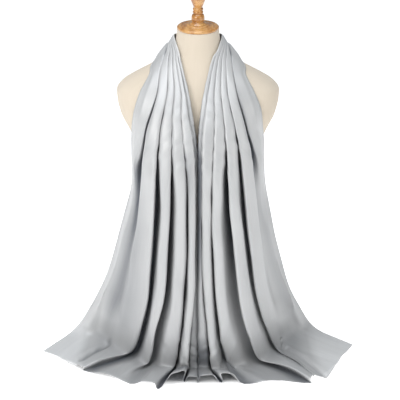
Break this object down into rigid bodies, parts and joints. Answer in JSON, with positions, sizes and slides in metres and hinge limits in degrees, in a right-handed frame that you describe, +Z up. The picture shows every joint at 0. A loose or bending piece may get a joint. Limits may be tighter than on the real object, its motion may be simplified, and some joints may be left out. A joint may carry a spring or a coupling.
{
  "type": "hijab scarf on dress form",
  "caption": "Light satin hijab gathered behind the neck of a limbless dress form, its two ends falling in front in deep pleats and spreading over the floor.",
  "frame": {"origin": "centre of the flat bottom of the dress form, which stands on the floor", "axes": "+Z up along the form, -Y towards the front where both ends of the scarf fall, +X towards the viewer's right"},
  "size_m": [0.6981, 0.3602, 0.8216],
  "materials": {
    "silver_satin": "light silver-grey satin with a soft sheen",
    "cream_jersey": "cream jersey stretched over the form, matt",
    "varnished_wood": "turned golden wood under gloss varnish"
  },
  "bodies": {
    "root": {"dress_form_torso": "cream_jersey", "neck_cap": "varnished_wood", "neck_finial": "varnished_wood", "scarf_neck": "silver_satin", "scarf_front_left": "silver_satin", "scarf_front_right": "silver_satin"}
  },
  "joints": []
}
